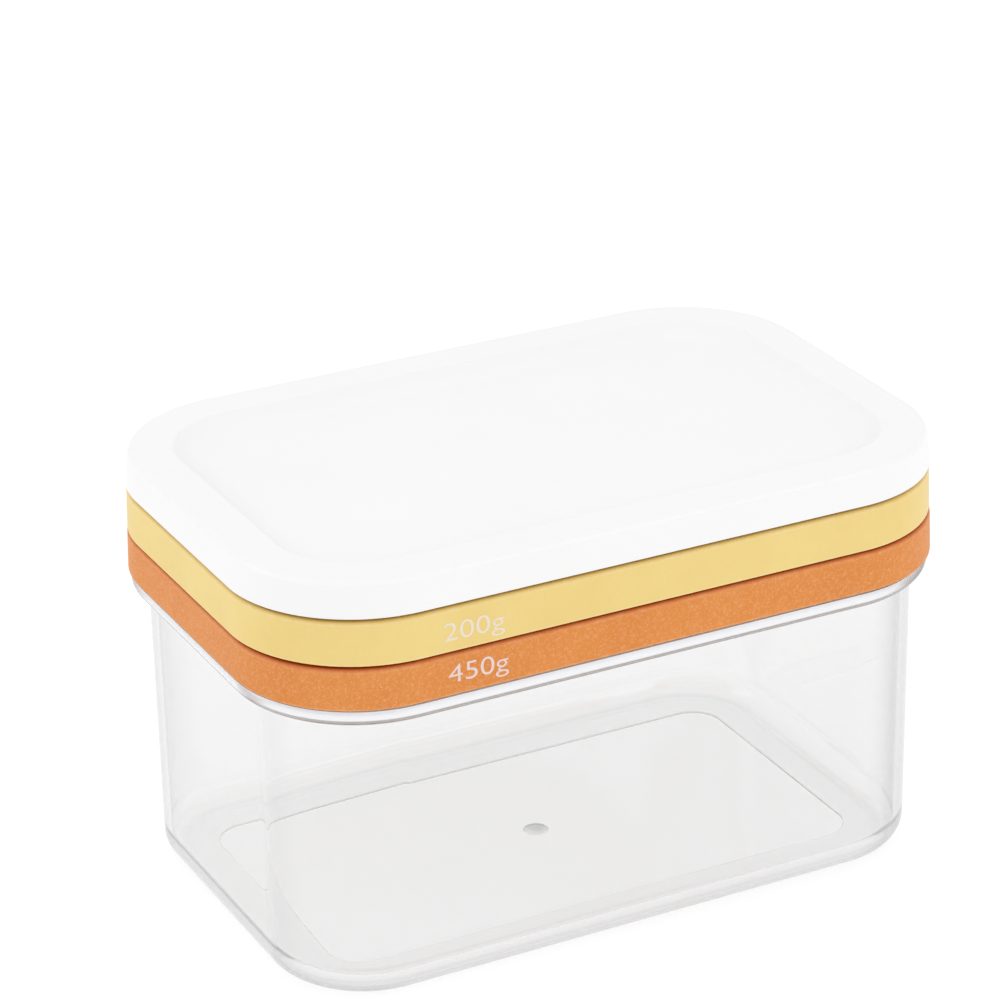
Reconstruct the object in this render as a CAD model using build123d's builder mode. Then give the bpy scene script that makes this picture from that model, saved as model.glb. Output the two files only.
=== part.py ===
"""Butter dish with two wire cutters, in millimetres.

+Z is up and +X runs along the dish. The origin is the middle of the foot that the container stands on.
"Depth" means the distance inwards from the plan outline that all the skirts share.
"""
import math
import os

from build123d import *

# Plan outline shared by the lid and both cutter frames, at the lower edge of their skirts
outer_length = 180.0
outer_width = 119.0
outer_corner = 31.8

# Stack, from the foot upwards
base_height = 77.6  # foot to the skirt edge of the lower frame
band_450 = 10.8  # that edge to the next frame's edge
band_200 = 11.5  # that edge to the lid's edge
lid_height = 8.6
seat_gap = 0.5  # dark line between a skirt and the shoulder below it

# Section of a cutter frame, from the skirt inwards
skirt_wall = 2.6
skirt_draft = 0.3  # each side, over the band
skirt_edge_round = 0.3
shoulder_round = 0.9
lip_clearance = 0.4  # between a lip and the skirt that drops over it
lip_height = 3.8  # above the shoulder
lip_round = 3.0
lip_joint = 0.15  # groove round the foot of the lip
seat_depth = 0.6  # the lip ring is let into the shoulder by this much
ring_width = 13.0  # skirt to window
inner_wall = 4.5
deck = 2.4
window_edge_round = 0.4

# Cutting wires
wire_diameter = 0.4
wire_play = 0.03
wire_pitch = 6.5
cross_wires = 19
long_wires_450 = 2
long_wires_200 = 1
bead_diameter = 1.2
bead_length = 1.6
bead_inset = 3.5  # window to bead

# Container
body_depth = 4.8  # its wall stands this far inside the skirts
body_corner = 25.5
body_draft = 0.4  # each side, down to the foot
body_wall = 2.2
floor_thickness = 2.3
foot_round = 6.0
floor_round = 6.0
flange_depth = 0.4
flange_height = 4.4
flange_round = 3.0
rim_wall = 2.2
rim_round = 0.6
panel_end_rim = 14.8  # foot edge to the hollow under the floor, at the two ends
panel_side_rim = 16.8  # and at the two long sides
panel_corner = 8.0
panel_hollow = 0.3
gate_diameter = 6.5
gate_hollow = 0.5

# Lid
lid_wall = 2.0
lid_draft = 1.0  # each side, over the skirt
lid_round = 1.5
lid_rim = 11.8  # flat border round the sunk top
sink = 3.2
sink_slope = 3.6
sink_top_round = 1.0
sink_foot_round = 9.0
rib_depth = 7.2
rib_width = 1.8

same_level = 0.01  # two heights this close are one

# Levels that follow from the stack
sizes = ("450", "200")
band = {"450": band_450, "200": band_200}
long_wires = {"450": long_wires_450, "200": long_wires_200}
skirt_edge = {"450": base_height, "200": base_height + band_450}
lid_edge = base_height + band_450 + band_200
shoulder = {size: skirt_edge[size] + band[size] - seat_gap for size in sizes}
split = {size: shoulder[size] - seat_depth for size in sizes}
lip_top = {size: shoulder[size] + lip_height for size in sizes}
ceiling = {size: split[size] - deck for size in sizes}
underside = {size: skirt_edge[size] - seat_gap + lip_height for size in sizes}

# Depths that follow from the section
lip_depth = skirt_wall + lip_clearance
channel_end = ring_width - inner_wall

# The wires lie just under the split between the two rings, the long ones below the cross ones
window_length = outer_length - 2 * ring_width
window_width = outer_width - 2 * ring_width
slot = wire_diameter + 2 * wire_play
cross_drop = slot / 2
long_drop = cross_drop + wire_diameter + wire_play
pocket = bead_diameter + 2 * wire_play
pocket_length = bead_length + 2 * wire_play
cross_bead = window_width / 2 + bead_inset + bead_length / 2
long_bead = window_length / 2 + bead_inset + bead_length / 2


def outline(depth, corner=None):
    """Rounded rectangle at one depth, concentric with the skirts unless it has its own corner."""
    radius = outer_corner - depth if corner is None else corner
    return RectangleRounded(outer_length - 2 * depth, outer_width - 2 * depth, radius)


def flat_faces(block, level):
    """Level faces of an unfinished piece at one height."""
    return block.faces().filter_by(Plane.XY).filter_by(lambda face: abs(face.center().Z - level) < same_level)


def slope(run, rise):
    return math.degrees(math.atan(run / rise))


def long_pitch(size):
    """The long wires part the window's width into equal rows."""
    return window_width / (long_wires[size] + 1)


def at_cross_wires():
    return GridLocations(wire_pitch, wire_pitch, cross_wires, 1)


def at_cross_beads():
    return GridLocations(wire_pitch, 2 * cross_bead, cross_wires, 2)


def at_long_wires(size):
    return GridLocations(long_pitch(size), long_pitch(size), 1, long_wires[size])


def at_long_beads(size):
    return GridLocations(2 * long_bead, long_pitch(size), 2, long_wires[size])


def keep(part, name):
    part.label = name
    export_step(part, f"parts/{name}.step")


os.makedirs("parts", exist_ok=True)

# Container: a clear drafted box, with a flange that the frames stand over and an upright rim
flange_top = base_height - seat_gap
flange_bottom = flange_top - flange_height
ledge = flange_bottom + body_wall  # step from the body's wall out to the rim, on the inside
body_slope = slope(body_draft, flange_top)
foot_length = outer_length - 2 * (body_depth + body_draft)
foot_width = outer_width - 2 * (body_depth + body_draft)

with BuildPart() as container:
    with BuildSketch(Plane.XY.offset(flange_bottom)):
        outline(flange_depth)
    extrude(amount=flange_height)
    fillet(container.faces().sort_by(Axis.Z)[0].edges(), flange_round)
    with BuildSketch(Plane.XY.offset(flange_top)):
        outline(body_depth, body_corner)
    extrude(amount=-flange_top, taper=body_slope)
    fillet(container.faces().sort_by(Axis.Z)[0].edges(), foot_round)
    with BuildSketch(Plane.XY.offset(flange_top)):
        outline(lip_depth)
    extrude(amount=ceiling["450"] - flange_top)
    fillet(container.faces().sort_by(Axis.Z)[-1].edges(), rim_round)
    with BuildSketch(Plane.XY.offset(flange_top)):
        outline(body_depth + body_wall, body_corner - body_wall)
    extrude(amount=floor_thickness - flange_top, taper=body_slope, mode=Mode.SUBTRACT)
    fillet(flat_faces(container, floor_thickness).edges(), floor_round)
    with BuildSketch(Plane.XY.offset(ledge)):
        outline(lip_depth + rim_wall)
    extrude(amount=ceiling["450"] - ledge, mode=Mode.SUBTRACT)
    with BuildSketch():
        RectangleRounded(foot_length - 2 * panel_end_rim, foot_width - 2 * panel_side_rim, panel_corner)
    extrude(amount=panel_hollow, mode=Mode.SUBTRACT)
    with BuildSketch(Plane.XY.offset(panel_hollow)):
        Circle(gate_diameter / 2)
    extrude(amount=gate_hollow, mode=Mode.SUBTRACT)

keep(container.part, "container")

# Cutter frames: a skirt ring below and a lip ring above, which clamp the wires between them
for size in sizes:
    with BuildPart() as skirt_ring:
        with BuildSketch(Plane.XY.offset(skirt_edge[size])):
            outline(0)
        extrude(amount=shoulder[size] - skirt_edge[size], taper=slope(skirt_draft, band[size]))
        fillet(skirt_ring.faces().sort_by(Axis.Z)[-1].edges(), shoulder_round)
        fillet(skirt_ring.faces().sort_by(Axis.Z)[0].edges(), skirt_edge_round)
        with BuildSketch(Plane.XY.offset(skirt_edge[size])):
            outline(skirt_wall)
        extrude(amount=underside[size] - skirt_edge[size], mode=Mode.SUBTRACT)
        with BuildSketch(Plane.XY.offset(underside[size])):
            outline(skirt_wall)
            with BuildSketch(mode=Mode.SUBTRACT):
                outline(channel_end)
        extrude(amount=ceiling[size] - underside[size], mode=Mode.SUBTRACT)
        with BuildSketch(Plane.XY.offset(underside[size])):
            outline(ring_width)
        extrude(amount=shoulder[size] - underside[size], mode=Mode.SUBTRACT)
        wall_end = flat_faces(skirt_ring, underside[size])[0]
        fillet(wall_end.inner_wires().edges(), window_edge_round)
        with BuildSketch(Plane.XY.offset(split[size])):
            outline(lip_depth - lip_joint)
        extrude(amount=seat_depth, mode=Mode.SUBTRACT)
        with BuildSketch(Plane.XY.offset(split[size])):
            with at_cross_wires():
                Rectangle(slot, 2 * cross_bead)
        extrude(amount=-cross_drop - slot / 2, mode=Mode.SUBTRACT)
        with BuildSketch(Plane.XY.offset(split[size])):
            with at_long_wires(size):
                Rectangle(2 * long_bead, slot)
        extrude(amount=-long_drop - slot / 2, mode=Mode.SUBTRACT)
        with BuildSketch(Plane.XY.offset(split[size])):
            with at_cross_beads():
                Rectangle(pocket, pocket_length)
        extrude(amount=-cross_drop - pocket / 2, mode=Mode.SUBTRACT)
        with BuildSketch(Plane.XY.offset(split[size])):
            with at_long_beads(size):
                Rectangle(pocket_length, pocket)
        extrude(amount=-long_drop - pocket / 2, mode=Mode.SUBTRACT)

    keep(skirt_ring.part, f"cutter_{size}_skirt_ring")

    with BuildPart() as lip_ring:
        with BuildSketch(Plane.XY.offset(split[size])):
            outline(lip_depth)
            with BuildSketch(mode=Mode.SUBTRACT):
                outline(ring_width)
        extrude(amount=lip_top[size] - split[size])
        fillet(lip_ring.faces().sort_by(Axis.Z)[-1].edges(), lip_round)
        with BuildSketch(Plane.XY.offset(split[size])):
            with at_cross_beads():
                Rectangle(pocket, pocket_length)
            with at_long_beads(size):
                Rectangle(pocket_length, pocket)
        extrude(amount=pocket / 2 - cross_drop, mode=Mode.SUBTRACT)

    keep(lip_ring.part, f"cutter_{size}_lip_ring")


def wire(name, middle, along, bead_at):
    """Straight wire with a crimped bead at each end, seated in the pockets of its frame."""
    across = Plane(origin=middle, z_dir=along)
    with BuildPart() as strand:
        with BuildSketch(across):
            Circle(wire_diameter / 2)
        extrude(amount=bead_at + bead_length / 2, both=True)
        with BuildSketch(across.offset(bead_at - bead_length / 2), across.offset(-bead_at - bead_length / 2)):
            Circle(bead_diameter / 2)
        extrude(amount=bead_length)
    keep(strand.part, name)


# Wires: the cross wires cut slices, the long wires part them into rows
for size in sizes:
    for number in range(cross_wires):
        x = (number - (cross_wires - 1) / 2) * wire_pitch
        middle = (x, 0, split[size] - cross_drop)
        wire(f"cutter_{size}_cross_wire_{number + 1:02d}", middle, (0, 1, 0), cross_bead)
    for number in range(long_wires[size]):
        y = (number - (long_wires[size] - 1) / 2) * long_pitch(size)
        middle = (0, y, split[size] - long_drop)
        wire(f"cutter_{size}_long_wire_{number + 1}", middle, (1, 0, 0), long_bead)

# Lid: a white shell with a sunk top, standing on the upper frame's lip by a rib under its border
lid_top = lid_edge + lid_height

with BuildPart() as lid:
    with BuildSketch(Plane.XY.offset(lid_edge)):
        outline(0)
    extrude(amount=lid_height, taper=slope(lid_draft, lid_height))
    fillet(lid.faces().sort_by(Axis.Z)[-1].edges(), lid_round)
    fillet(lid.faces().sort_by(Axis.Z)[0].edges(), skirt_edge_round)
    with BuildSketch(Plane.XY.offset(lid_edge)):
        outline(skirt_wall)
    extrude(amount=lid_height - lid_wall, mode=Mode.SUBTRACT)
    with BuildSketch(Plane.XY.offset(lid_top - lid_wall)):
        outline(lid_rim - lid_wall)
    extrude(amount=-sink, taper=slope(sink_slope, sink))
    with BuildSketch(Plane.XY.offset(lip_top["200"])):
        outline(rib_depth)
        with BuildSketch(mode=Mode.SUBTRACT):
            outline(rib_depth + rib_width)
    extrude(amount=lid_top - lid_wall - lip_top["200"])
    with BuildSketch(Plane.XY.offset(lid_top)):
        outline(lid_rim)
    extrude(amount=-sink, taper=slope(sink_slope, sink), mode=Mode.SUBTRACT)
    fillet(flat_faces(lid, lid_top - sink).edges(), sink_foot_round)
    border = flat_faces(lid, lid_top)[0]
    fillet(border.inner_wires().edges(), sink_top_round)

keep(lid.part, "lid")
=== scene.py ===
"""Butter dish with two wire cutters: the dressed model, from the container up to the lid.

Sections of the mouldings are in millimetres and become metres when their mesh is made.
"Depth" is the distance inwards from the plan outline that all the skirts share.
"""
import math

import bmesh
import bpy
from mathutils import Matrix, Vector


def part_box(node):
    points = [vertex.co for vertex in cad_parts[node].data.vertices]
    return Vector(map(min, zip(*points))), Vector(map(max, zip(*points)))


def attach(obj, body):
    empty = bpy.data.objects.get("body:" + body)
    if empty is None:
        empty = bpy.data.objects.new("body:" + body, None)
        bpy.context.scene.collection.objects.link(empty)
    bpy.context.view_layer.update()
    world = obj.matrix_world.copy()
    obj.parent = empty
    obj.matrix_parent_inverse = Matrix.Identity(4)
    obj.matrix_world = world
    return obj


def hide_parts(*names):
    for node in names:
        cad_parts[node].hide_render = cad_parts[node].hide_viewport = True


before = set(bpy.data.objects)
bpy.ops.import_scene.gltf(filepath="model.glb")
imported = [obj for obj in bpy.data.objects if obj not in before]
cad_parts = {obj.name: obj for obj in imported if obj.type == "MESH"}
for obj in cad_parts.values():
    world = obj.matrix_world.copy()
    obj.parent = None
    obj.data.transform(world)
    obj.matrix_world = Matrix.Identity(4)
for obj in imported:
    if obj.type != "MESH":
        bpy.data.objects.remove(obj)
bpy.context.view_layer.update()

# Camera: it stands in front of the dish's long side, well to the left, and looks down on it.
# A long lens from about 0.9 m keeps the sides of the dish nearly parallel.
view_from = Vector((-0.39306, -0.76222, 0.47521))
view_turn = math.radians(-26.83)
view_drop = math.radians(24.13)
view_tilt = math.radians(-1.11)

backwards = Vector((
    math.sin(view_turn) * math.cos(view_drop),
    -math.cos(view_turn) * math.cos(view_drop),
    math.sin(view_drop),
))
level_right = Vector((math.cos(view_turn), math.sin(view_turn), 0))
level_up = backwards.cross(level_right)
tilt_right = level_right * math.cos(view_tilt) + level_up * math.sin(view_tilt)
tilt_up = level_up * math.cos(view_tilt) - level_right * math.sin(view_tilt)
view_axes = Matrix((tilt_right, tilt_up, backwards)).transposed().to_4x4()

lens = bpy.data.cameras.new("catalogue_lens")
lens.lens = 140.99
lens.sensor_width = 36
camera = bpy.data.objects.new("catalogue_camera", lens)
camera.matrix_world = Matrix.Translation(view_from) @ view_axes
bpy.context.collection.objects.link(camera)
bpy.context.scene.camera = camera

# Clear container: one moulding in water-clear styrene, gated in the middle of its foot. Its flange
# carries the lower frame, and the upright rim above the flange keeps that frame in place. It stands
# on the flat band round a slightly hollow panel.
mm = 0.001
outer_length = 180.0
outer_width = 119.0
outer_corner = 31.8
lip_depth = 3.0  # the lips and the container's rim stand this far in
lip_height = 3.8  # above the shoulder
seat_gap = 0.5  # dark line between a skirt and the shoulder below it
skirt_plan = (outer_length, outer_width, outer_corner)

body_ease = -1.5  # the body's corners are this much sharper than the skirts'
body_draft = 0.4
wall = 2.2
wall_foot = 4.8 + body_draft  # depth of the outer face of the body's wall at the foot
floor_top = 2.3
foot_round = 6.0
flange_height = 4.4
flange_depth = 0.4
flange_round = 3.0
gate_plan = (6.5, 6.5, 3.25)
gate_slope = 0.9
gate_cap = 2.6
gate_hollow = 0.5
panel_plan = (140.0, 75.0, 8.0)
panel_hollow = 0.3
panel_edge = 1.0  # of flat on each side of the panel's outline
flat_run = 2.0  # how far a flat goes on past a round, where the next outline takes over

step_turn = 12.0  # degrees that one step of a 1 mm round turns
long_straight = 1.0
support_gap = 0.3  # from the end of a long straight to its support point
corner_steps = 40
corner_turn = 90.0 / corner_steps
support_share = 0.03  # of a side, from its end to its support point
smallest = 0.01  # for a corner's radius, and for a distance that is divided by
doubles = 2e-6  # metres
# Mark on convex edges: the frames paint a highlight there, and the lid a darker tint.
edge_bend_gain = 0.7
corner_run = 8.0  # past the start of a corner, to where its share is full


def level(node, end):
    """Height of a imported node's lower (0) or upper (1) end."""
    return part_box(node)[end][2] / mm


def rounded(corners, closed=False):
    """Rounds the corners (depth, height, round, ease) of a section, and eases each long straight.

    A support point near each end of a straight keeps the flat face beside a round flat.
    """
    points = []
    for place, (depth, height, radius, ease) in enumerate(corners):
        if not closed and place in (0, len(corners) - 1):
            points.append((depth, height, ease))
            continue
        corner = Vector((depth, height))
        before = (Vector(corners[place - 1][:2]) - corner).normalized()
        after = (Vector(corners[(place + 1) % len(corners)][:2]) - corner).normalized()
        turn = math.pi - before.angle(after)
        centre = corner + (before + after).normalized() * radius / math.cos(turn / 2)
        start = corner + before * radius * math.tan(turn / 2) - centre
        end = corner + after * radius * math.tan(turn / 2) - centre
        steps = max(3, round(math.degrees(turn) * math.sqrt(radius) / step_turn))
        for step in range(steps + 1):
            share = step / steps
            swing = start * math.sin((1 - share) * turn) + end * math.sin(share * turn)
            spot = centre + swing / math.sin(turn)
            points.append((spot.x, spot.y, ease))
    eased = []
    for place, here in enumerate(points):
        eased.append(here)
        following = points[(place + 1) % len(points)]
        gap = math.dist(here[:2], following[:2])
        if gap > long_straight and (closed or place < len(points) - 1):
            for share in (support_gap / gap, 1 - support_gap / gap):
                eased.append(tuple(a + (b - a) * share for a, b in zip(here, following)))
    return eased


def hoop(length, width, corner, height):
    """Rounded rectangle of points at one height, in metres, counter-clockwise from above."""
    corner = max(corner, smallest)
    points = []
    for quarter, (side_x, side_y) in enumerate(((1, 1), (-1, 1), (-1, -1), (1, -1))):
        middle = Vector((side_x * (length / 2 - corner), side_y * (width / 2 - corner), height))
        sides = (width - 2 * corner, length - 2 * corner)
        run_in, run_out = sides if quarter % 2 == 0 else sides[::-1]
        for step in range(-1, corner_steps + 2):
            angle = math.radians(90 * quarter + corner_turn * min(max(step, 0), corner_steps))
            along = Vector((-math.sin(angle), math.cos(angle), 0))
            spot = middle + Vector((math.cos(angle), math.sin(angle), 0)) * corner
            if step < 0:
                spot -= along * run_in * support_share
            if step > corner_steps:
                spot += along * run_out * support_share
            points.append(spot * mm)
    return points


def hoops(plan, corners):
    """Hoops up a section that is measured inwards from one plan outline (length, width, corner)."""
    length, width, corner = plan
    return [
        hoop(length - 2 * depth, width - 2 * depth, corner + ease - depth, height)
        for depth, height, ease in rounded(corners)
    ]


def smooth_moulding(mesh):
    """Merges doubles, turns the faces outwards and marks how sharply each edge bends outwards, where the
    frames carry a painted highlight and the lid a darker tint.
    """
    shape = bmesh.new()
    shape.from_mesh(mesh)
    bmesh.ops.remove_doubles(shape, verts=shape.verts, dist=doubles)
    bmesh.ops.recalc_face_normals(shape, faces=shape.faces)
    wear = shape.verts.layers.float.new("wear")
    for edge in shape.edges:
        if len(edge.link_faces) == 2:
            one, other = edge.link_faces
            apart = (one.calc_center_median() - other.calc_center_median()).length
            bend = edge.calc_face_angle_signed(0) / max(apart / mm, smallest)
            for corner in edge.verts:
                corner[wear] = max(corner[wear], min(bend * edge_bend_gain, 1))
    shape.to_mesh(mesh)
    shape.free()
    mesh.shade_smooth()
    return mesh


def lofted(name, rings):
    """Closed mesh through a list of hoops, capped at both ends."""
    count = len(rings[0])
    last = (len(rings) - 1) * count
    faces = [tuple(reversed(range(count))), tuple(range(last, last + count))]
    for low in range(0, last, count):
        for spot in range(count):
            onward = (spot + 1) % count
            faces.append((low + spot, low + onward, low + count + onward, low + count + spot))
    mesh = bpy.data.meshes.new(name)
    mesh.from_pydata([point for ring in rings for point in ring], [], faces)
    return smooth_moulding(mesh)


def plan_depth(point, corner):
    """Depth of a vertex in from the plan outline, and its share (0 to 1) of the way into a corner."""
    past_x = abs(point.co.x) / mm - outer_length / 2 + corner
    past_y = abs(point.co.y) / mm - outer_width / 2 + corner
    if min(past_x, past_y) > 0:
        return corner - math.hypot(past_x, past_y), min(past_x, past_y, corner_run) / corner_run
    return corner - max(past_x, past_y), 0.0


def moulding(name, mesh, body, finish, nodes):
    """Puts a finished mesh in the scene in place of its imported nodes."""
    piece = bpy.data.objects.new(name, mesh)
    bpy.context.collection.objects.link(piece)
    mesh.materials.clear()
    mesh.materials.append(finish)
    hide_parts(*nodes)
    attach(piece, body)
    return piece


class Finish:
    """A new material, with short ways to add and join its nodes."""

    def __init__(self, name):
        self.material = bpy.data.materials.new(name)
        self.material.use_nodes = True
        self.tree = self.material.node_tree
        self.shader = self.tree.nodes["Principled BSDF"]
        self.output = self.tree.nodes["Material Output"]
        self.place = self.node("TexCoord").outputs["Object"]

    def feed(self, socket, value):
        """Joins a socket to another one, or sets its value."""
        if isinstance(value, bpy.types.NodeSocket):
            self.tree.links.new(value, socket)
        elif socket.type == "RGBA":
            socket.default_value = (*value, 1)
        else:
            socket.default_value = value

    def node(self, kind, settings=None, **inputs):
        """Adds a node. An input goes by its socket's name, or by n and its number."""
        made = self.tree.nodes.new("ShaderNode" + kind)
        for setting, value in (settings or {}).items():
            setattr(made, setting, value)
        for socket, value in inputs.items():
            by_number = socket[0] == "n" and socket[1:].isdigit()
            self.feed(made.inputs[int(socket[1:]) if by_number else socket.replace("_", " ")], value)
        return made

    def set(self, **inputs):
        """Sets or joins the inputs of the shader itself."""
        for socket, value in inputs.items():
            self.feed(self.shader.inputs[socket.replace("_", " ")], value)

    def mark(self, name):
        """The share, 0 to 1, that the mesh carries under that name."""
        return self.node("Attribute", {"attribute_name": name}).outputs["Fac"]

    def noise(self, scale, detail, roughness=0.5):
        """Noise through the piece, 0 to 1."""
        texture = self.node("TexNoise", Vector=self.place, Scale=scale, Detail=detail, Roughness=roughness)
        return texture.outputs["Fac"]

    def ramp(self, value, low, high, start=0.0, end=1.0):
        """Goes from start to end while the value goes from low to high."""
        limits = {"From_Min": low, "From_Max": high, "To_Min": start, "To_Max": end}
        return self.node("MapRange", Value=value, **limits).outputs["Result"]

    def combine(self, operation, one, other):
        """Result of a sum on two numbers, such as MULTIPLY."""
        return self.node("Math", {"operation": operation}, n0=one, n1=other).outputs[0]

    def mix(self, share, one, other):
        """Number between two numbers."""
        return self.node("Mix", Factor=share, n2=one, n3=other).outputs[0]

    def blend(self, share, one, other):
        """Colour between two colours."""
        return self.node("Mix", {"data_type": "RGBA"}, Factor=share, n6=one, n7=other).outputs[2]

    def bump(self, height, strength, distance, **over):
        """Relief from a height, on its own or over another relief."""
        made = self.node("Bump", Strength=strength, Distance=distance, Height=height, **over)
        return made.outputs["Normal"]


# Styrene: mould flow shows as a very slight waviness in the reflections, and handling leaves the
# polish a little duller in places. The gate mark is matt and a little cloudy. The flat band of the
# foot is scuffed, and painted darker as painted contact shade where it stands on the table.
clear = Finish("clear_styrene")
flow = clear.noise(38.0, 2.0, 0.4)
handling = clear.noise(240.0, 4.0, 0.6)
facing = clear.node("LayerWeight", Blend=0.5).outputs["Facing"]
on_flange = clear.mark("flange")
at_corner = clear.mark("turned")
from_gate = clear.node("VectorMath", {"operation": "LENGTH"}, Vector=clear.place).outputs["Value"]
gate_mark = clear.ramp(from_gate, 0.0028, 0.0033, 1.0, 0.0)
height = clear.node("SeparateXYZ", Vector=clear.place).outputs["Z"]
foot_shade_and_scuff = clear.ramp(height, 0.00026, panel_hollow * mm, 1.0, 0.0)

tone = clear.blend(flow, (0.966, 0.966, 0.966), (0.974, 0.974, 0.974))
tone = clear.blend(gate_mark, tone, (0.72, 0.72, 0.73))
# Painted contact shade: the foot's flat band is painted darker where it stands on the table.
tone = clear.blend(foot_shade_and_scuff, tone, (0.90, 0.90, 0.90))
# A wall seen edge on is painted darker, most of all round a corner: painted shade for the light lost where
# a wall is looked through lengthwise.
tone = clear.blend(clear.ramp(facing, 0.62, 0.96), tone, (0.62, 0.62, 0.63))
corner_edge_shade = clear.combine("MULTIPLY", at_corner, clear.ramp(facing, 0.3, 0.95))
tone = clear.blend(corner_edge_shade, tone, (0.56, 0.56, 0.57))
# The flange is painted bluish white and made partly milky, as painted light for the light that its thick
# band carries round inside, and its corners' ends are painted darkest, as painted shade.
tone = clear.blend(on_flange, tone, (0.955, 0.965, 1.0))
flange_corner_shade = clear.combine("MULTIPLY", at_corner, clear.ramp(facing, 0.42, 0.8))
tone = clear.blend(clear.combine("MULTIPLY", on_flange, flange_corner_shade), tone, (0.16, 0.18, 0.22))
# Painted shade: a dark line along the flange's lower round, where it faces down, and a darker seat on its
# top, where the frame above shades it.
upward = clear.node("SeparateXYZ", Vector=clear.node("TexCoord").outputs["Normal"]).outputs["Z"]
lower_round_shade = clear.combine("MULTIPLY", on_flange, clear.ramp(upward, -0.27, -0.37))
tone = clear.blend(lower_round_shade, tone, (0.36, 0.32, 0.30))
seat_shadow = clear.combine("MULTIPLY", on_flange, clear.ramp(upward, 0.3, 0.8))
tone = clear.blend(seat_shadow, tone, (0.42, 0.38, 0.36))

polish = clear.mix(gate_mark, clear.ramp(handling, 0.35, 0.75, 0.008, 0.03), 0.35)
polish = clear.mix(foot_shade_and_scuff, polish, 0.12)
polish = clear.mix(on_flange, polish, 0.2)
clear.set(
    Base_Color=tone,
    Roughness=polish,
    Normal=clear.bump(flow, 0.5, 0.00001),
    Transmission_Weight=clear.ramp(on_flange, 0.0, 1.0, 1.0, 0.55),
    IOR=1.57,
)
# Light that has been turned back inside a wall several times leaves it, as at a real wall's flaws.
light_path = clear.node("LightPath")
turned_often = clear.combine("GREATER_THAN", light_path.outputs["Glossy Depth"], 2.5)
far_along = clear.combine("GREATER_THAN", light_path.outputs["Ray Depth"], 7.5)
either = clear.combine("MAXIMUM", turned_often, far_along)
let_out = clear.combine("MAXIMUM", either, light_path.outputs["Is Shadow Ray"])
passing = clear.node("BsdfTransparent", Color=(0.97, 0.97, 0.97))
surface = clear.node("MixShader", n0=let_out, n1=clear.shader.outputs["BSDF"], n2=passing.outputs["BSDF"])
inside = clear.node("VolumeAbsorption", Color=(0.90, 0.90, 0.90), Density=160.0)
clear.feed(clear.output.inputs["Surface"], surface.outputs["Shader"])
clear.feed(clear.output.inputs["Volume"], inside.outputs["Volume"])

rim_top = level("container", 1)
flange_top = level("cutter_450_skirt_ring", 0) - seat_gap
flange_low = flange_top - flange_height
ledge = flange_low + wall


def wall_depth(height):
    """Depth of the body's outer face, which leans out from the foot to the flange."""
    return wall_foot - body_draft * height / flange_top


container_hoops = hoops(gate_plan, [
    (gate_cap, panel_hollow + gate_hollow, 0, 0),
    (gate_slope, panel_hollow + gate_hollow, 0.6, 0),
    (0, panel_hollow, 0.15, 0),
    (-panel_edge / 2, panel_hollow, 0, 0),
])
container_hoops += hoops(panel_plan, [
    (panel_edge, panel_hollow, 0, 0),
    (0, panel_hollow, 0.1, 0),
    (0, 0, 0.1, 0),
    (-panel_edge, 0, 0, 0),
])
container_hoops += hoops(skirt_plan, [
    (wall_foot + foot_round + flat_run, 0, 0, body_ease),
    (wall_foot, 0, foot_round, body_ease),
    (wall_depth(flange_low), flange_low, 0.5, body_ease),
    (flange_depth, flange_low, flange_round, 0),
    (flange_depth, flange_top, 0.15, 0),
    (lip_depth, flange_top, 0.2, 0),
    (lip_depth, rim_top, 0.6, 0),
    (lip_depth + wall, rim_top, 0.3, 0),
    (lip_depth + wall, ledge, 0.5, 0),
    (wall_depth(ledge) + wall, ledge, 0.8, body_ease),
    (wall_depth(floor_top) + wall, floor_top, foot_round, body_ease),
    (wall_depth(floor_top) + wall + foot_round + flat_run, floor_top, 0, body_ease),
])
container_mesh = lofted("container_clear", container_hoops)
flange_skin = container_mesh.attributes.new("flange", "FLOAT", "POINT")
turned_wall = container_mesh.attributes.new("turned", "FLOAT", "POINT")
flange_skin_depth = 2.9  # stops short of the rim's outer face
turned_wall_depth = 9.0  # takes in the wall's inner face
level_slack = 0.01
for point in container_mesh.vertices:
    depth, turned = plan_depth(point, outer_corner)
    in_band = flange_low - level_slack < point.co.z / mm < flange_top + level_slack
    if depth < flange_skin_depth and in_band:
        flange_skin.data[point.index].value = 1.0
    if depth < turned_wall_depth:
        turned_wall.data[point.index].value = turned
moulding("container_clear", container_mesh, "container", clear.material, ["container"])

# Cutter frames: each is a skirt ring below and a lip ring above, moulded in polypropylene, the
# lower frame orange and the upper one yellow. The two rings are welded and clamp the wires.
skirt_wall = 2.6
skirt_draft = 0.3
shoulder_round = 0.9
shoulder_sink = 0.3  # lowers the frames' shoulders, which widens the dark line over them
ring_width = 13.0
inner_wall = 4.5
deck = 2.4
lip_round = 3.0
lip_joint = 0.15  # groove round the foot of the lip
ring_step = 2.2  # along a ring, from one section to the next
fillet_points = 90
seat_start = 1.4  # depth at which a shoulder is under the next skirt
shoulder_share = 0.7  # shoulder_share = 0.7 # of the seat's painted shade, at the top of the shoulder's round


def section_curve(name, corners):
    """Closed section (depth, height) as a flat curve for the ring maker."""
    points = rounded([(*corner, 0) for corner in corners], closed=True)
    curve = bpy.data.curves.new(name, "CURVE")
    run = curve.splines.new("POLY")
    run.points.add(len(points) - 1)
    for point, (depth, height, _) in zip(run.points, points):
        point.co = (-depth * mm, -height * mm, 0, 1)
    run.use_cyclic_u = True
    return bpy.data.objects.new(name, curve)


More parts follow.
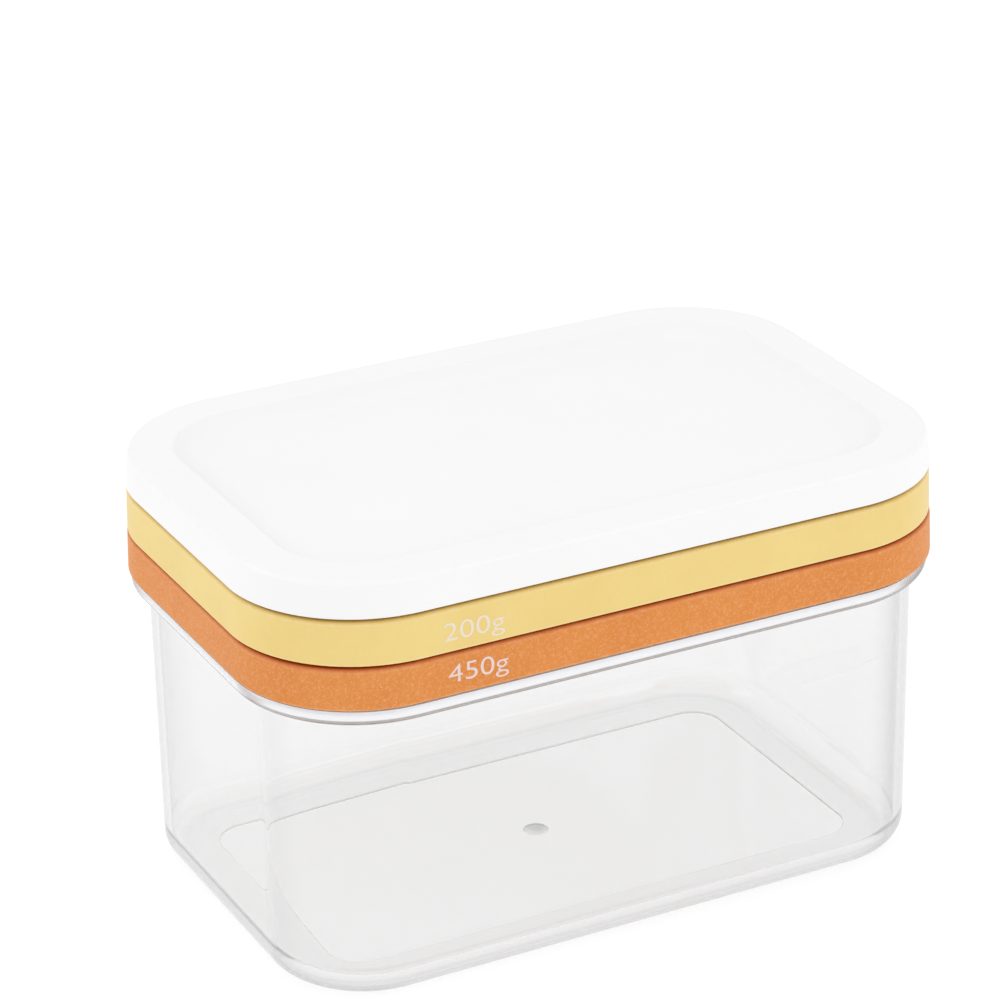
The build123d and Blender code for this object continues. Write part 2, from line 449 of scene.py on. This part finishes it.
# The ring maker runs a section round a rounded rectangle.
ring_maker = bpy.data.node_groups.new("moulded_ring", "GeometryNodeTree")
ring_maker.is_modifier = True
ring_inputs = {}
for label, kind in (
    ("Length", "NodeSocketFloat"),
    ("Width", "NodeSocketFloat"),
    ("Corner", "NodeSocketFloat"),
    ("Step", "NodeSocketFloat"),
    ("Section", "NodeSocketObject"),
    ("Finish", "NodeSocketMaterial"),
):
    made_input = ring_maker.interface.new_socket(label, in_out="INPUT", socket_type=kind)
    ring_inputs[label] = made_input.identifier
ring_maker.interface.new_socket("Geometry", in_out="OUTPUT", socket_type="NodeSocketGeometry")
given = ring_maker.nodes.new("NodeGroupInput")
rectangle = ring_maker.nodes.new("GeometryNodeCurvePrimitiveQuadrilateral")
corners = ring_maker.nodes.new("GeometryNodeFilletCurve")
corners.mode = "POLY"
corners.inputs["Count"].default_value = fillet_points
path = ring_maker.nodes.new("GeometryNodeResampleCurve")
path.mode = "LENGTH"
upright = ring_maker.nodes.new("GeometryNodeSetCurveNormal")
upright.mode = "Z_UP"
section = ring_maker.nodes.new("GeometryNodeObjectInfo")
sweep = ring_maker.nodes.new("GeometryNodeCurveToMesh")
whole = ring_maker.nodes.new("GeometryNodeRealizeInstances")
dressed = ring_maker.nodes.new("GeometryNodeSetMaterial")
result = ring_maker.nodes.new("NodeGroupOutput")
for source, output, target, entry in (
    (given, "Length", rectangle, "Width"),
    (given, "Width", rectangle, "Height"),
    (given, "Corner", corners, "Radius"),
    (given, "Step", path, "Length"),
    (given, "Section", section, "Object"),
    (given, "Finish", dressed, "Material"),
    (rectangle, "Curve", corners, "Curve"),
    (corners, "Curve", path, "Curve"),
    (path, "Curve", upright, "Curve"),
    (upright, "Curve", sweep, "Curve"),
    (section, "Geometry", sweep, "Profile Curve"),
    (sweep, "Mesh", whole, "Geometry"),
    (whole, "Geometry", dressed, "Geometry"),
    (dressed, "Geometry", result, "Geometry"),
):
    ring_maker.links.new(source.outputs[output], target.inputs[entry])


def moulded_ring(name, corners, corner, finish):
    """Plain mesh of one ring with that section."""
    outline = section_curve(name + "_section", corners)
    blank = bpy.data.objects.new(name + "_blank", bpy.data.meshes.new(name + "_blank"))
    bpy.context.collection.objects.link(blank)
    modifier = blank.modifiers.new("moulded_ring", "NODES")
    modifier.node_group = ring_maker
    for label, value in (
        ("Length", outer_length * mm),
        ("Width", outer_width * mm),
        ("Corner", corner * mm),
        ("Step", ring_step * mm),
        ("Section", outline),
        ("Finish", finish),
    ):
        modifier[ring_inputs[label]] = value
    mesh = bpy.data.meshes.new_from_object(blank.evaluated_get(bpy.context.evaluated_depsgraph_get()))
    mesh.name = name
    blank.modifiers.remove(modifier)
    bpy.data.objects.remove(blank)
    bpy.data.objects.remove(outline)
    return smooth_moulding(mesh)


def frame_plastic(name, colour, shade, edge_highlight, fleck, fleck_share, roughness, grain):
    """Polypropylene: a slight cloudiness, a fine moulded grain, pale flecks, a painted highlight along
    convex edges and painted shade on the seat under the next skirt.
    """
    finish = Finish(name)
    cloud = finish.noise(55.0, 3.0, 0.55)
    fine = finish.noise(2600.0, 3.0, 0.6)
    rub_and_edge_noise = finish.noise(420.0, 4.0, 0.7)
    mottle = finish.noise(1100.0, 4.0, 0.75)
    specks = finish.node("TexVoronoi", Vector=finish.place, Scale=1500.0).outputs["Distance"]
    # Painted highlight: convex edges are painted lighter, in patches.
    edge_tint = finish.combine("MULTIPLY", finish.mark("wear"), finish.ramp(rub_and_edge_noise, 0.3, 0.7, 0.0, 0.8))
    # Painted shade: the seat under the next skirt is painted a deeper, darker colour, as light there goes
    # from one coloured face to another.
    deepened = [channel ** 1.8 for channel in shade]
    tone = finish.blend(finish.ramp(cloud, 0.35, 0.65), colour, shade)
    tone = finish.blend(finish.ramp(specks, 0.16, 0.34, fleck_share, 0.0), tone, fleck)
    tone = finish.blend(edge_tint, tone, edge_highlight)
    tone = finish.blend(finish.ramp(mottle, 0.5, 0.72, 0.0, fleck_share), tone, fleck)
    tone = finish.blend(finish.mark("seat"), tone, deepened)
    grained = finish.bump(fine, grain, 0.00002)
    finish.set(
        Base_Color=tone,
        Roughness=finish.ramp(rub_and_edge_noise, 0.3, 0.7, roughness - 0.05, roughness + 0.06),
        Normal=finish.bump(cloud, 0.4, 0.0002, Normal=grained),
        IOR=1.49,
        Specular_IOR_Level=0.3,
    )
    return finish.material


frame_finish = {
    "450": frame_plastic(
        "orange_polypropylene", colour=(0.70, 0.246, 0.050), shade=(0.67, 0.222, 0.042),
        edge_highlight=(0.84, 0.44, 0.20), fleck=(0.86, 0.46, 0.22), fleck_share=0.42, roughness=0.52, grain=0.8),
    "200": frame_plastic(
        "yellow_polypropylene", colour=(0.81, 0.62, 0.230), shade=(0.78, 0.585, 0.205),
        edge_highlight=(0.90, 0.76, 0.44), fleck=(0.89, 0.75, 0.42), fleck_share=0.10, roughness=0.42, grain=0.5),
}
frame_corner = {"450": 30.9, "200": 32.2}

for size in ("450", "200"):
    skirt_node = f"cutter_{size}_skirt_ring"
    lip_node = f"cutter_{size}_lip_ring"
    skirt_edge = level(skirt_node, 0)
    lip_foot = level(lip_node, 0)
    lip_top = level(lip_node, 1)
    shoulder = lip_top - lip_height - shoulder_sink
    under = skirt_edge - seat_gap + lip_height
    skirt_ring = moulded_ring(f"frame_{size}_skirt_ring", [
        (0, skirt_edge, 0.3),
        (skirt_draft, shoulder, shoulder_round),
        (lip_depth - lip_joint, shoulder, 0.12),
        (lip_depth - lip_joint, lip_foot, 0.1),
        (ring_width, lip_foot, 0.15),
        (ring_width, under, 0.4),
        (ring_width - inner_wall, under, 0.4),
        (ring_width - inner_wall, lip_foot - deck, 0.3),
        (skirt_wall, lip_foot - deck, 0.3),
        (skirt_wall, skirt_edge, 0.3),
    ], frame_corner[size], frame_finish[size])
    lip_ring = moulded_ring(f"frame_{size}_lip_ring", [
        (lip_depth, lip_foot, 0.1),
        (lip_depth, lip_top, lip_round),
        (ring_width, lip_top, lip_round),
        (ring_width, lip_foot, 0.15),
    ], frame_corner[size], frame_finish[size])
    # The seat under the next skirt, and the top of the shoulder's round, carry the painted shade.
    seat = skirt_ring.attributes.new("seat", "FLOAT", "POINT")
    for point in skirt_ring.vertices:
        depth = plan_depth(point, frame_corner[size])[0]
        below = shoulder - point.co.z / mm
        if depth > seat_start and abs(below) < 2 * level_slack:
            seat.data[point.index].value = 1.0
        elif depth < seat_start and below < shoulder_round:
            seat.data[point.index].value = shoulder_share * (1 - below / shoulder_round)
    for ring, node in ((skirt_ring, skirt_node), (lip_ring, lip_node)):
        moulding(ring.name, ring, f"cutter_{size}", frame_finish[size], [node])

# Cutting wires: hard drawn stainless wire, 0.4 mm thick, with a crimped bead at each end that is
# held between the two rings of its frame. Drawing leaves fine lines along each wire.


def drawn_steel(name, across):
    """Bright wire with drawing lines; across holds the texture's scale along x, y and z."""
    finish = Finish(name)
    stretched = finish.node("Mapping", Vector=finish.place, Scale=across).outputs["Vector"]
    texture = finish.node("TexNoise", Vector=stretched, Scale=1.0, Detail=3.0, Roughness=0.6)
    lines = texture.outputs["Fac"]
    finish.set(
        Base_Color=finish.blend(finish.noise(180.0, 3.0), (0.36, 0.36, 0.36), (0.48, 0.48, 0.48)),
        Roughness=finish.ramp(lines, 0.3, 0.7, 0.18, 0.34),
        Normal=finish.bump(lines, 0.35, 0.00001),
        Metallic=1.0,
    )
    return finish.material


line_fine = 9000
line_long = 150
steel = {
    "_cross_wire_": drawn_steel("drawn_steel_cross", (line_fine, line_long, line_fine)),
    "_long_wire_": drawn_steel("drawn_steel_long", (line_long, line_fine, line_fine)),
}
for name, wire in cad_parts.items():
    for kind, finish in steel.items():
        if kind in name:
            wire.material_slots[0].material = finish

# Printed figures: the weight of butter that each frame cuts into slices, pad printed in white
# near the left end of the front skirt, in a light upright face.
figures_height = 4.4
ink_height = 0.015
digits_share = 0.6  # of the width, from the left: digits only, without the g's tail


def print_ink(name, thin, full):
    """White ink so thin that the plastic under it still tints it."""
    finish = Finish(name)
    coverage = finish.noise(1400.0, 3.0, 0.6)
    finish.set(
        Base_Color=finish.blend(coverage, thin, full),
        Roughness=finish.ramp(coverage, 0.0, 1.0, 0.38, 0.6),
        Normal=finish.bump(coverage, 0.3, 0.00001),
    )
    return finish.material


ink_finish = {
    "450": print_ink("white_print_on_orange", thin=(0.72, 0.53, 0.47), full=(0.80, 0.67, 0.63)),
    "200": print_ink("white_print_on_yellow", thin=(0.76, 0.66, 0.48), full=(0.80, 0.72, 0.61)),
}
for size, left, right, middle in (("450", -51.4, -36.3, 5.2), ("200", -52.3, -37.1, 4.9)):
    figures = bpy.data.curves.new(f"figures_{size}g", "FONT")
    figures.body = f"{size}g"
    figures.offset = -0.003
    figures.extrude = 0.0
    text = bpy.data.objects.new(f"figures_{size}g", figures)
    bpy.context.collection.objects.link(text)
    shown_text = text.evaluated_get(bpy.context.evaluated_depsgraph_get())
    print_mesh = bpy.data.meshes.new_from_object(shown_text)
    bpy.data.objects.remove(text)
    low_x = min(v.co.x for v in print_mesh.vertices)
    high_x = max(v.co.x for v in print_mesh.vertices)
    high_y = max(v.co.y for v in print_mesh.vertices)
    digits_end = low_x + (high_x - low_x) * digits_share
    digits_low = min(v.co.y for v in print_mesh.vertices if v.co.x < digits_end)
    skirt_edge = level(f"cutter_{size}_skirt_ring", 0)
    band = level(f"cutter_{size}_lip_ring", 1) - lip_height + seat_gap - skirt_edge
    for point in print_mesh.vertices:
        x = left + (point.co.x - low_x) / (high_x - low_x) * (right - left)
        up = middle + ((point.co.y - digits_low) / (high_y - digits_low) - 0.5) * figures_height
        face = outer_width / 2 - skirt_draft * up / band
        point.co = Vector((x, -face - ink_height, skirt_edge + up)) * mm
    print_mesh.name = f"figures_{size}g"
    printed = bpy.data.objects.new(f"figures_{size}g", print_mesh)
    bpy.context.collection.objects.link(printed)
    print_mesh.materials.clear()
    print_mesh.materials.append(ink_finish[size])
    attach(printed, f"cutter_{size}")

# Lid: one white polypropylene moulding with a sunk top and a soft slope down to it. A rib under
# the border stands on the yellow lip, and the skirt drops over the frame.
lid_wall = 2.0
lid_draft = 1.0
lid_corner = 32.5
border = 11.8
sink = 3.2
sink_slope = 3.6
sink_run = 6.0  # of flat top past the slope, before the cap
rib_outer = 7.2
rib_inner = 9.0
rest_gap = 0.02  # keeps the rib's foot and the lip apart, so that they don't cut into each other

white = Finish("white_polypropylene")
cloud = white.noise(30.0, 3.0, 0.5)
fine = white.noise(2200.0, 3.0, 0.6)
rub_and_edge_noise = white.noise(350.0, 5.0, 0.7)
# Convex edges are a little darker, in patches.
edge_tint = white.combine("MULTIPLY", white.mark("wear"), white.ramp(rub_and_edge_noise, 0.45, 0.7, 0.0, 0.25))
tone = white.blend(cloud, (0.850, 0.850, 0.848), (0.870, 0.870, 0.868))
grained = white.bump(fine, 0.35, 0.00002)
white.set(
    Base_Color=white.blend(edge_tint, tone, (0.74, 0.735, 0.72)),
    Roughness=white.ramp(rub_and_edge_noise, 0.3, 0.7, 0.28, 0.38),
    Normal=white.bump(cloud, 0.3, 0.00008, Normal=grained),
    IOR=1.49,
)

lid_edge = level("lid", 0)
lid_top = level("lid", 1)
lid_under = lid_top - lid_wall
rib_foot = level("cutter_200_lip_ring", 1) + rest_gap
lid_hoops = hoops((outer_length, outer_width, lid_corner), [
    (border - lid_wall + sink_slope + sink_run, lid_under - sink, 0, 0),
    (border - lid_wall + sink_slope, lid_under - sink, 1.0, 0),
    (border - lid_wall, lid_under, 0.5, 0),
    (rib_inner, lid_under, 0.3, 0),
    (rib_inner, rib_foot, 0.3, 0),
    (rib_outer, rib_foot, 0.3, 0),
    (rib_outer, lid_under, 0.3, 0),
    (skirt_wall, lid_under, 0.6, 0),
    (skirt_wall, lid_edge, 0.3, 0),
    (0, lid_edge, 0.3, 0),
    (lid_draft, lid_top, 1.5, 0),
    (border, lid_top, 1.0, 0),
    (border + sink_slope, lid_top - sink, 9.0, 0),
    (border + sink_slope + sink_run, lid_top - sink, 0, 0),
])
moulding("lid_white", lofted("lid_white", lid_hoops), "lid", white.material, ["lid"])

# Floor: a plain white studio table of opal sheet, lit from below as well, far wider than the view.
opal = Finish("studio_table")
opal.set(
    Base_Color=opal.blend(opal.noise(8.0, 2.0), (0.17, 0.17, 0.17), (0.19, 0.19, 0.19)),
    Roughness=0.9,
    Specular_IOR_Level=0.1,
    Emission_Color=(1, 1, 1),
    Emission_Strength=0.86,
)
table_reach = 4
table_top = -0.0002
table_corners = [
    (side_x * table_reach, side_y * table_reach, table_top)
    for side_x, side_y in ((-1, -1), (1, -1), (1, 1), (-1, 1))
]
table_mesh = bpy.data.meshes.new("studio_table")
table_mesh.from_pydata(table_corners, [], [(0, 1, 2, 3)])
table_mesh.materials.append(opal.material)
table = bpy.data.objects.new("studio_table", table_mesh)
bpy.context.collection.objects.link(table)

# Light: a white tent all round, with one large soft box to the left and one in front, so that the
# corner between them is a little darker than the two sides.
tent = bpy.data.worlds.new("white_tent")
tent.use_nodes = True
bpy.context.scene.world = tent
sky = tent.node_tree.nodes["Background"]
sky.inputs["Color"].default_value = (1, 1, 1, 1)
sky.inputs["Strength"].default_value = 0.97

dish_middle = Vector((0, 0, 0.05))
for side, stand, power in (("left", (-1.05, 0.4, 0.9), 2.35), ("front", (0.6, -1.0, 0.9), 2.5)):
    soft_box = bpy.data.lights.new(f"{side}_soft_box", "AREA")
    soft_box.shape = "RECTANGLE"
    soft_box.size = 1.2
    soft_box.size_y = 0.9
    soft_box.energy = power
    box_stand = bpy.data.objects.new(f"{side}_soft_box", soft_box)
    box_stand.location = stand
    box_stand.rotation_euler = (dish_middle - box_stand.location).to_track_quat("-Z", "Y").to_euler()
    bpy.context.collection.objects.link(box_stand)
bpy.context.scene.view_settings.view_transform = "Standard"
